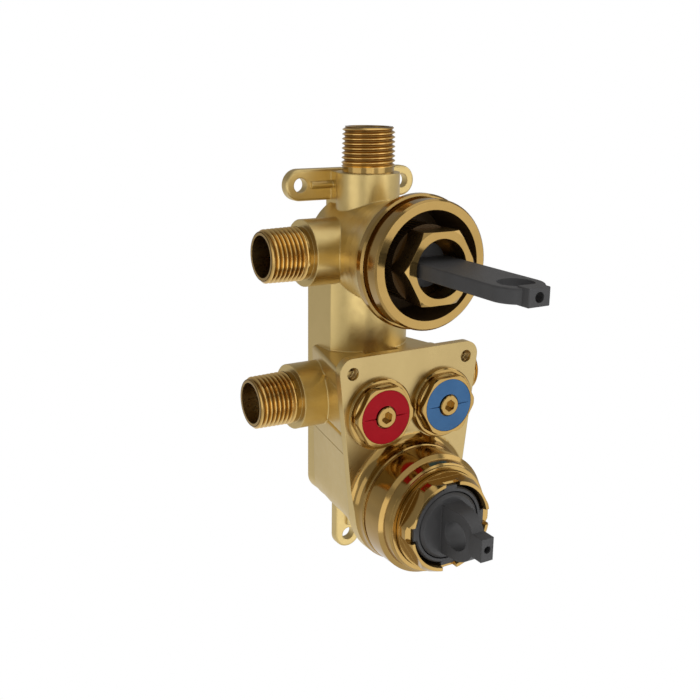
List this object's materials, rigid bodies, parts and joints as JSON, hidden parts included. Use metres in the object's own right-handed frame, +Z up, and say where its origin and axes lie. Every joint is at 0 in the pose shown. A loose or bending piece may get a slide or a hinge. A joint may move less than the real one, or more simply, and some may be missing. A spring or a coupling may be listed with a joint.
{
  "type": "shower rough-in valve",
  "caption": "Brass concealed shower valve body with threaded inlets and outlets, service stops, a mixing cartridge below and an outlet diverter above.",
  "frame": {"origin": "on the wall plane at the back of the lugs, on the axis of the temperature control", "axes": "+X to the right seen from the front, +Y back into the wall, +Z up"},
  "size_m": [0.1056, 0.1203, 0.1866],
  "materials": {
    "cast_brass": "satin cast, machined threads",
    "machined_brass": "bright turned",
    "dark_brass": "dull turned",
    "black_plastic": "matt moulded",
    "red_plastic": "satin moulded",
    "blue_plastic": "satin moulded",
    "white_plastic": "moulded",
    "rubber": "moulded",
    "ceramic": "lapped",
    "steel": "drawn wire and mesh"
  },
  "bodies": {
    "casting": {"valve_body": "cast_brass", "gland_nut": "machined_brass", "diverter_cartridge_body": "dark_brass", "diverter_base_seal": "rubber", "diverter_fixed_disc": "ceramic", "diverter_stem_seal": "rubber", "retaining_nut": "machined_brass", "mixing_housing": "white_plastic", "mixing_seals": "rubber", "filter_screens": "steel", "mixing_head": "machined_brass", "spindle_seal": "rubber", "limit_ring": "black_plastic", "hot_stop_bonnet": "machined_brass", "hot_indicator_disc": "red_plastic", "cold_stop_bonnet": "machined_brass", "cold_indicator_disc": "blue_plastic", "hot_check_cage": "white_plastic", "cold_check_cage": "white_plastic", "return_spring": "steel", "hot_check_spring": "steel", "cold_check_spring": "steel"},
    "diverter": {"diverter_stem": "machined_brass", "diverter_moving_disc": "ceramic", "diverter_adapter": "black_plastic"},
    "temperature": {"mixing_spindle": "machined_brass", "temperature_adapter": "black_plastic"},
    "drive": {"drive_cup": "white_plastic", "overtravel_spring": "steel"},
    "regulator": {"regulating_spool": "white_plastic", "wax_element": "dark_brass"},
    "hot_stop": {"hot_stop_stem": "machined_brass"},
    "cold_stop": {"cold_stop_stem": "machined_brass"},
    "hot_plunger": {"hot_stop_plunger": "dark_brass", "hot_plunger_seal": "rubber"},
    "cold_plunger": {"cold_stop_plunger": "dark_brass", "cold_plunger_seal": "rubber"},
    "hot_check": {"hot_check_poppet": "white_plastic"},
    "cold_check": {"cold_check_poppet": "white_plastic"}
  },
  "joints": [
    {"name": "diverter_turn", "type": "hinge", "parent": "casting", "child": "diverter", "pos_m": [0, -0.06, 0.0967], "axis": [0, 1, 0], "range_deg": [-90, 90]},
    {"name": "temperature_turn", "type": "hinge", "parent": "casting", "child": "temperature", "pos_m": [0, -0.07, 0], "axis": [0, 1, 0], "range_deg": [-135, 135]},
    {"name": "drive_slide", "type": "slide", "parent": "casting", "child": "drive", "axis": [0, 1, 0], "range_m": [-0.00112, 0.00112]},
    {"name": "regulator_slide", "type": "slide", "parent": "casting", "child": "regulator", "axis": [0, 1, 0], "range_m": [-0.00112, 0.00112], "deforming": ["return_spring"]},
    {"name": "hot_stop_turn", "type": "hinge", "parent": "casting", "child": "hot_stop", "pos_m": [-0.0147, -0.055, 0.0387], "axis": [0, 1, 0], "range_deg": [0, 828]},
    {"name": "cold_stop_turn", "type": "hinge", "parent": "casting", "child": "cold_stop", "pos_m": [0.0147, -0.055, 0.0387], "axis": [0, 1, 0], "range_deg": [0, 828]},
    {"name": "hot_plunger_slide", "type": "slide", "parent": "casting", "child": "hot_plunger", "axis": [0, 1, 0], "range_m": [0, 0.0046]},
    {"name": "cold_plunger_slide", "type": "slide", "parent": "casting", "child": "cold_plunger", "axis": [0, 1, 0], "range_m": [0, 0.0046]},
    {"name": "hot_check_slide", "type": "slide", "parent": "casting", "child": "hot_check", "axis": [1, 0, 0], "range_m": [0, 0.003], "stiffness_N_per_m": 60, "springref_m": -0.002, "deforming": ["hot_check_spring"]},
    {"name": "cold_check_slide", "type": "slide", "parent": "casting", "child": "cold_check", "axis": [-1, 0, 0], "range_m": [0, 0.003], "stiffness_N_per_m": 60, "springref_m": -0.002, "deforming": ["cold_check_spring"]}
  ],
  "couplings": [
    {"joint": "temperature_turn", "follows": "regulator_slide", "rad_per_m": 2094.4},
    {"joint": "drive_slide", "follows": "regulator_slide", "ratio": 1},
    {"joint": "hot_stop_turn", "follows": "hot_plunger_slide", "rad_per_m": 3141.6},
    {"joint": "cold_stop_turn", "follows": "cold_plunger_slide", "rad_per_m": 3141.6}
  ]
}
